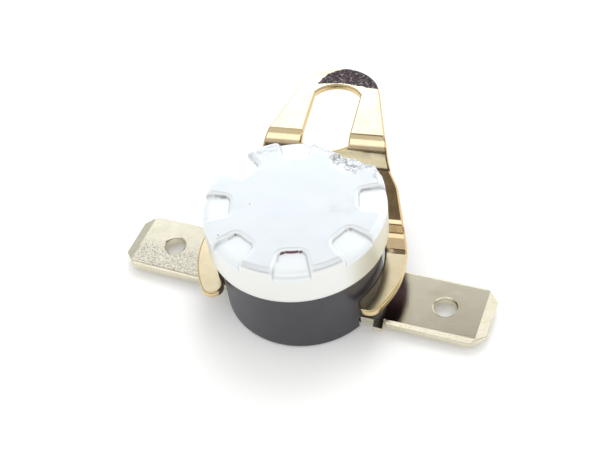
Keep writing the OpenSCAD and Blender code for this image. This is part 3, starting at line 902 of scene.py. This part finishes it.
class SWITCH_OT_bracket(Operator):
    """Model the bent bracket with its fork, slotted ear and bends, with painted shade in the crease below the
    ear
    """

    bl_idname = "thermal_switch.bracket"
    bl_label = "Bracket"

    def execute(self, context):
        settings = scene_settings("switch_bracket")
        bm = bmesh.new()
        draw_half_outline(bm, settings)
        draw_half_slot(bm)
        bmesh.ops.mirror(bm, geom=bm.verts[:] + bm.edges[:], matrix=Matrix.Identity(4), merge_dist=TINY,
                         axis="X")
        bmesh.ops.remove_doubles(bm, verts=bm.verts[:], dist=2 * TINY)
        bmesh.ops.triangle_fill(bm, use_beauty=True, use_dissolve=False, edges=bm.edges[:])
        thicken(bm, -settings.sheet)
        merge_flat(bm)
        for level, width in ((0.0, settings.roll_over), (-settings.sheet, 0.06 * MM)):
            edges = [e for e in bm.edges if e.calc_face_angle(0.0) > 1.2
                     and all(abs(v.co.z - level) < TINY for v in e.verts)]
            round_off(bm, edges, width, 3)
        # Places in mm at which the sheet can bend: every 0.4 mm, and closely round each bend
        cuts = [step * 0.4 for step in range(-23, 55)]
        cuts += [bend[0] + step * 0.03 for bend in SIDE[1:-1] for step in range(-9, 10)]
        for y in cuts:
            slice_at(bm, "Y", y * MM)
        crisp_rims(bm)
        sheared = bm.faces.layers.float.new("sheared")
        for face in bm.faces:
            face[sheared] = float(abs(face.normal.z) < 0.999)
        for vert in bm.verts:
            wobble = noise.noise(Vector((vert.co.x * 900.0, vert.co.y * 500.0, 0.0))) * 0.1
            height, slope = side_point(vert.co.y / MM + wobble * (vert.co.y < 9.0 * MM))
            depth = vert.co.z
            vert.co.y -= depth * math.sin(slope)
            vert.co.z = height * MM + depth * math.cos(slope)
        bmesh.ops.recalc_face_normals(bm, faces=bm.faces[:])
        plating = yellow_plating(settings.surface, settings.stain)
        bracket = finish_piece(bm, "eared_bracket", plating, "bracket", "bracket")
        flatten_shading(bracket)
        return {"FINISHED"}


def draw_half_outline(bm, settings):
    """Draws the right-hand half of the bracket's outline, from the fork's inside to the ear's tip."""
    inner, outer = settings.fork_inner, settings.fork_outer
    middle, end = (inner + outer) / 2, (outer - inner) / 2
    taper, leave = settings.taper, settings.leave
    tip_angle = settings.mouth + math.asin(end / middle) - math.pi / 2
    tip = (middle * math.cos(tip_angle), middle * math.sin(tip_angle))
    reach = settings.ear_at * math.sin(taper) + settings.ear_radius
    shoulder_x = (outer - settings.shoulder * math.sin(leave)) / math.cos(leave)
    neck_x = (reach - settings.neck * math.sin(taper)) / math.cos(taper)
    ear_x, ear_y = settings.ear_radius * math.cos(taper), settings.ear_radius * math.sin(taper)
    vert = bm.verts.new((0.0, inner, 0.0))
    vert = sweep(bm, vert, (0.0, 0.0), math.degrees(tip_angle) - 90.0, 64)
    vert = sweep(bm, vert, tip, 180.0, 20)
    vert = sweep(bm, vert, (0.0, 0.0), math.degrees(leave - tip_angle), 40)
    shoulder = trace(bm, vert, (shoulder_x, settings.shoulder, 0.0))
    neck = trace(bm, shoulder, (neck_x, settings.neck, 0.0))
    vert = trace(bm, neck, (ear_x, settings.ear_at + ear_y, 0.0))
    sweep(bm, vert, (0.0, settings.ear_at), 90.0 - math.degrees(taper), 28)
    round_off(bm, [shoulder, neck], 0.42 * MM, 8, affect="VERTICES")


def draw_half_slot(bm):
    """Draws the right-hand half of the fixing slot, from its far end to its near end."""
    half, far, near, far_radius, near_radius = (v * MM for v in (2.25, 19.1, 10.8, 2.63, 5.6))
    far_centre, near_centre = far - far_radius, near + near_radius
    vert = bm.verts.new((0.0, far, 0.0))
    far_angle = math.degrees(math.acos(half / far_radius))
    near_angle = math.degrees(math.acos(half / near_radius))
    vert = sweep(bm, vert, (0.0, far_centre), far_angle - 90.0, 14)
    vert = trace(bm, vert, (half, near_centre - near_radius * math.sin(math.radians(near_angle)), 0.0))
    sweep(bm, vert, (0.0, near_centre), near_angle - 90.0, 12)


# Parts inside

class SWITCH_OT_inside(Operator):
    """Model the rivets, the spring leaf and the snap disc, and give the hidden parts their finish"""

    bl_idname = "thermal_switch.inside"
    bl_label = "Inside"

    def execute(self, context):
        colours = scene_settings("switch_inside")
        turn = scene_settings("switch_blades").turn
        brass = plain_metal("turned_brass", colours.brass, 0.28, 0.25)
        copper = plain_metal("rolled_copper_alloy", colours.copper, 0.25, 0.3)
        bimetal = plain_metal("rolled_bimetal", colours.bimetal, 0.3, 0.35)
        silver = plain_metal("silver_contact", colours.silver, 0.3, 0.15)
        for node in ("left_rivet", "right_rivet"):
            make_rivet(node, brass)
        make_leaf(copper, turn)
        make_disc(bimetal)
        for node, material in (("fixed_bridge", brass), ("fixed_contact", silver), ("moving_contact", silver),
                               ("push_pin", pressed_ceramic(colours.ceramic)),
                               ("guide_plate", brown_laminate(colours.guide))):
            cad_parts[node].data.materials.clear()
            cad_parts[node].data.materials.append(material)
        return {"FINISHED"}


def make_rivet(node, material):
    """Rivet with two domed heads, turned from its half section."""
    low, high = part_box(node)
    head, shank = (high.x - low.x) / 2, 1.0 * MM
    under = scene_settings("switch_blades").lift
    upper = high.z - 0.6 * MM
    bm = bmesh.new()
    profile(bm, [
        (0.0, low.z, 0.0), (head * 0.85, low.z + 0.04 * MM, 0.2 * MM), (head, under - 0.08 * MM, 0.05 * MM),
        (head, under, 0.0), (shank, under, 0.0), (shank, upper, 0.0), (head, upper, 0.0),
        (head, upper + 0.1 * MM, 0.05 * MM), (head * 0.85, high.z - 0.04 * MM, 0.2 * MM), (0.0, high.z, 0.0)])
    divide(bm, lambda middle: 0.3 * MM)
    lathe(bm, 96)
    turn_and_move(bm, 0.0, ((low.x + high.x) / 2, (low.y + high.y) / 2, 0.0))
    finish_piece(bm, "brass_" + node, material, "switch", node)


def make_leaf(material, turn):
    """Spring leaf: a thin strip with a narrow end that carries the moving contact."""
    low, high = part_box("spring_leaf")
    root, neck, pad = -5.3 * MM, 1.1 * MM, 1.9 * MM
    wide, narrow, button_hole = 1.5 * MM, 0.85 * MM, 0.37 * MM
    bm = bmesh.new()
    start = bm.verts.new((root, -wide, low.z))
    last = trace(bm, start, (neck, -wide, low.z), (neck, -narrow, low.z), (pad, -narrow, low.z))
    last = sweep(bm, last, (pad, 0.0), 180.0, 16)
    last = trace(bm, last, (neck, narrow, low.z), (neck, wide, low.z), (root, wide, low.z))
    bm.edges.new((last, start))
    for x, radius in ((-RIVET_AT, RIVET_HOLE), (pad, button_hole)):
        bmesh.ops.create_circle(bm, cap_ends=False, segments=40, radius=radius,
                                matrix=Matrix.Translation((x, 0.0, low.z)))
    bmesh.ops.triangle_fill(bm, use_beauty=True, use_dissolve=False, edges=bm.edges[:])
    for step in range(-30, 18):
        slice_at(bm, "X", step * 0.1 * MM)
    thicken(bm, high.z - low.z)
    turn_and_move(bm, turn)
    leaf = finish_piece(bm, "copper_spring_leaf", material, None, "spring_leaf")
    start, end = (tuple(Matrix.Rotation(turn, 3, "Z") @ Vector((x * MM, 0.0, (low.z + high.z) / 2)))
                  for x in (-2.6, 0.3))
    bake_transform(leaf, "switch", "contact", start=start, end=end)


def make_disc(material):
    """Snap disc: a thin domed sheet, turned from the two arcs of its half section."""
    low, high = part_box("bimetal_disc")
    radius, thickness, steps = high.x, 0.2 * MM, 24
    rise = high.z - low.z - thickness
    bm = bmesh.new()
    arc = [(radius * i / steps, 0.0, low.z + rise * (1.0 - (i / steps) ** 2)) for i in range(steps + 1)]
    last = trace(bm, bm.verts.new(arc[0]), *arc[1:])
    trace(bm, last, *((x, y, z + thickness) for x, y, z in reversed(arc)))
    lathe(bm, 128)
    disc = finish_piece(bm, "bimetal_snap_disc", material, "switch", "bimetal_disc")
    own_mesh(disc)


# Stage

class SWITCH_OT_stage(Operator):
    """Set up the pale floor, the soft light and the camera"""

    bl_idname = "thermal_switch.stage"
    bl_label = "Stage"

    def execute(self, context):
        settings = scene_settings("switch_stage")
        place_camera(settings)
        lay_floor(settings)
        light_world(settings)
        hang_lamp("key_softbox", azimuth=82.0, elevation=58.0, distance=0.32, size=0.2, power=settings.key)
        context.scene.view_settings.view_transform = "Standard"
        return {"FINISHED"}


def place_camera(settings):
    """Camera at the photograph's viewpoint, fitted to the cap, the base and the blades."""
    azimuth, elevation, roll = settings.azimuth, settings.elevation, settings.roll
    back = Vector((math.sin(azimuth) * math.cos(elevation), -math.cos(azimuth) * math.cos(elevation),
                   math.sin(elevation)))
    right = Vector((math.cos(azimuth), math.sin(azimuth), 0.0))
    up = back.cross(right)
    across = right * math.cos(roll) + up * math.sin(roll)
    upward = up * math.cos(roll) - right * math.sin(roll)
    data = bpy.data.cameras.new("camera")
    data.sensor_width = SENSOR_WIDTH
    data.lens = settings.focal * SENSOR_WIDTH / IMAGE_WIDTH
    data.clip_start = 0.001
    camera = bpy.data.objects.new("camera", data)
    target = Vector((-0.374, 1.365, 5.0)) * MM
    rotation = Matrix((across, upward, back)).transposed().to_4x4()
    camera.matrix_world = Matrix.Translation(target + back * settings.distance) @ rotation
    bpy.context.scene.collection.objects.link(camera)
    bpy.context.scene.camera = camera


def lay_floor(settings):
    """Round white floor that takes the shadow near the part and is plain white further out.

    The card's fibres are about 0.05 mm, too fine for the picture, and are drawn at 0.6 mm.
    """
    bm = bmesh.new()
    bmesh.ops.create_circle(bm, cap_ends=True, segments=96, radius=FLOOR_RADIUS)
    mesh = bpy.data.meshes.new("floor")
    bm.to_mesh(mesh)
    bm.free()
    floor = bpy.data.objects.new("floor", mesh)
    bpy.context.scene.collection.objects.link(floor)
    material, add, coords = new_finish("matt_white_card")
    fibre = add("TexNoise", coords, {"Scale": per_mm(0.6), "Detail": 4.0, "Roughness": 0.55})
    tone = coats(add, tuple(settings.paper), ("#FAFAF8", fibre))
    card = add("BsdfPrincipled", {"Base Color": tone, "Roughness": 0.9, "Specular IOR Level": 0.2})
    path = add("LightPath", out=None)
    seen = add("Math", path["Is Camera Ray"], path["Is Glossy Ray"], operation="MAXIMUM")
    lift = add("Emission", WHITE, add("Math", seen, settings.lift, operation="MULTIPLY"))
    add("OutputMaterial", add("AddShader", card, lift), out=None)
    mesh.materials.append(material)


# Light that stands round the part and shows only in its metal, as an arc from the far horizon (0 degrees)
# over the part to the near one (180): degrees, strength, and what green has of red and blue of green
ARC = ((0, 1.0, 1.0), (8, 1.75, 1.12), (41, 1.75, 1.12), (42.5, 1.45, 1.0), (46.9, 1.45, 1.0),
       (47.6, 0.85, 1.0), (54, 0.76, 1.0), (57, 0.12, 0.8), (80, 0.1, 0.8), (89, 0.45, 0.85),
       (97, 0.5, 0.85), (100, 1.35, 1.0), (114, 1.35, 1.0), (122, 0.6, 0.9), (130, 0.1, 0.85),
       (138, 0.12, 0.85), (144, 0.22, 0.85), (150, 0.6, 0.95), (180, 0.8, 1.0))
# Level directions away from the camera's place in the photograph and to the right of it
AWAY, RIGHT = (-0.3256, 0.9455, 0.0), (0.9455, 0.3256, 0.0)
# Strengths of the wall on the left and on the right, and red, green and blue of the screen overhead
LEFT_WALL, RIGHT_WALL, SCREEN = 0.72, 1.25, (0.7, 0.66, 0.58)
# Strength that a full ramp stands for, because a ramp's colours end at 1
BRIGHTEST = 2.4


def light_world(settings):
    """Even white light, and the studio that bright metal shows: white walls, a dim ceiling, a lit strip."""
    world = bpy.data.worlds.new("studio")
    bpy.context.scene.world = world
    world.use_nodes = True
    world.node_tree.nodes.clear()
    add = partial(add_node, world.node_tree)
    way = add("TexCoord", out="Generated")
    forward, across = (add("VectorMath", way, axis, out="Value", operation="DOT_PRODUCT")
                       for axis in (AWAY, RIGHT))
    turn = add("Math", add("SeparateXYZ", way, out="Z"), forward, operation="ARCTAN2")
    turn = add("Math", turn, math.pi, operation="DIVIDE")
    arc = add("ValToRGB", turn, stops=[
        (degrees / 180, tuple(value * share ** i / BRIGHTEST for i in range(3)) + (1.0,))
        for degrees, value, share in ARC])
    aside = add("ValToRGB", add("Math", across, operation="ABSOLUTE"), stops=((0.22, 0.0), (0.34, 1.0)))
    ahead = add("ValToRGB", forward, stops=((0.0, 0.0), (0.3, 1.0)))
    walls = add("ValToRGB", add("Math", across, 0.0, operation="GREATER_THAN"),
                stops=((0.0, LEFT_WALL / BRIGHTEST), (1.0, RIGHT_WALL / BRIGHTEST)))
    leftward = add("Math", across, -1.0, operation="MULTIPLY")
    leftward = add("ValToRGB", leftward, stops=((0.04, 0.0), (0.09, 1.0)))
    overhead = add("ValToRGB", turn, stops=[(degrees / 180, shown) for degrees, shown in (
        (52, 0.0), (57, 1.0), (94, 1.0), (99, 0.0))])
    pale = tuple(value / BRIGHTEST for value in SCREEN) + (1.0,)
    shown = coats(add, arc, (pale, leftward, overhead), (walls, aside, ahead))
    path = add("LightPath", out=None)
    even, mirror, white = (add("Background", shade, strength) for shade, strength in (
        (WHITE, settings.ambient), (shown, BRIGHTEST), (WHITE, 1.0)))
    seen = add("Math", path["Is Camera Ray"], path["Is Transmission Ray"], operation="MAXIMUM")
    light = add("MixShader", path["Is Glossy Ray"], even, mirror)
    add("OutputWorld", add("MixShader", seen, light, white), out=None)


def hang_lamp(name, azimuth, elevation, distance, size, power):
    """Square soft lamp that points at the part and isn't mirrored in it."""
    a, e = math.radians(azimuth), math.radians(elevation)
    data = bpy.data.lights.new(name, "AREA")
    data.shape = "SQUARE"
    data.size = size
    data.energy = power
    lamp = bpy.data.objects.new(name, data)
    way = Vector((math.cos(a) * math.cos(e), math.sin(a) * math.cos(e), math.sin(e)))
    lamp.matrix_world = Matrix.Translation(way * distance) @ way.to_track_quat("Z", "Y").to_matrix().to_4x4()
    lamp.visible_glossy = False
    bpy.context.scene.collection.objects.link(lamp)


class SWITCH_PT_panel(Panel):
    """Sizes, colours and steps of the thermal switch"""

    bl_idname = "SWITCH_PT_panel"
    bl_label = "Thermal switch"
    bl_space_type = "VIEW_3D"
    bl_region_type = "UI"
    bl_category = "Thermal switch"

    def draw(self, context):
        for name, label, operators in GROUPS:
            box = self.layout.box()
            box.label(text=label)
            group = getattr(context.scene, name)
            for prop in group.bl_rna.properties:
                if prop.identifier not in ("rna_type", "name"):
                    box.prop(group, prop.identifier)
            for operator in operators:
                box.operator(operator.bl_idname)


GROUPS = (
    ("switch_cap", "Cap", (SWITCH_OT_cap,)),
    ("switch_base", "Base", (SWITCH_OT_base,)),
    ("switch_blades", "Blades", (SWITCH_OT_blades,)),
    ("switch_bracket", "Bracket", (SWITCH_OT_bracket,)),
    ("switch_inside", "Inside", (SWITCH_OT_inside,)),
    ("switch_stage", "Stage", (SWITCH_OT_stage,)),
)
SETTINGS = {
    "switch_cap": CapSettings, "switch_base": BaseSettings, "switch_blades": BladeSettings,
    "switch_bracket": BracketSettings, "switch_inside": InsideSettings, "switch_stage": StageSettings,
}
CLASSES = (*SETTINGS.values(), *(operator for _, _, operators in GROUPS for operator in operators),
           SWITCH_PT_panel)


def register():
    """Adds the classes and their settings to Blender."""
    for cls in CLASSES:
        bpy.utils.register_class(cls)
    for name, group in SETTINGS.items():
        setattr(bpy.types.Scene, name, PointerProperty(type=group))


def unregister():
    """Takes the settings and the classes out again."""
    for name in SETTINGS:
        delattr(bpy.types.Scene, name)
    for cls in reversed(CLASSES):
        bpy.utils.unregister_class(cls)


def main():
    """Builds every piece and the stage."""
    register()
    bpy.ops.thermal_switch.cap()
    bpy.ops.thermal_switch.base()
    bpy.ops.thermal_switch.blades()
    bpy.ops.thermal_switch.bracket()
    bpy.ops.thermal_switch.inside()
    bpy.ops.thermal_switch.stage()


if __name__ == "__main__":
    main()
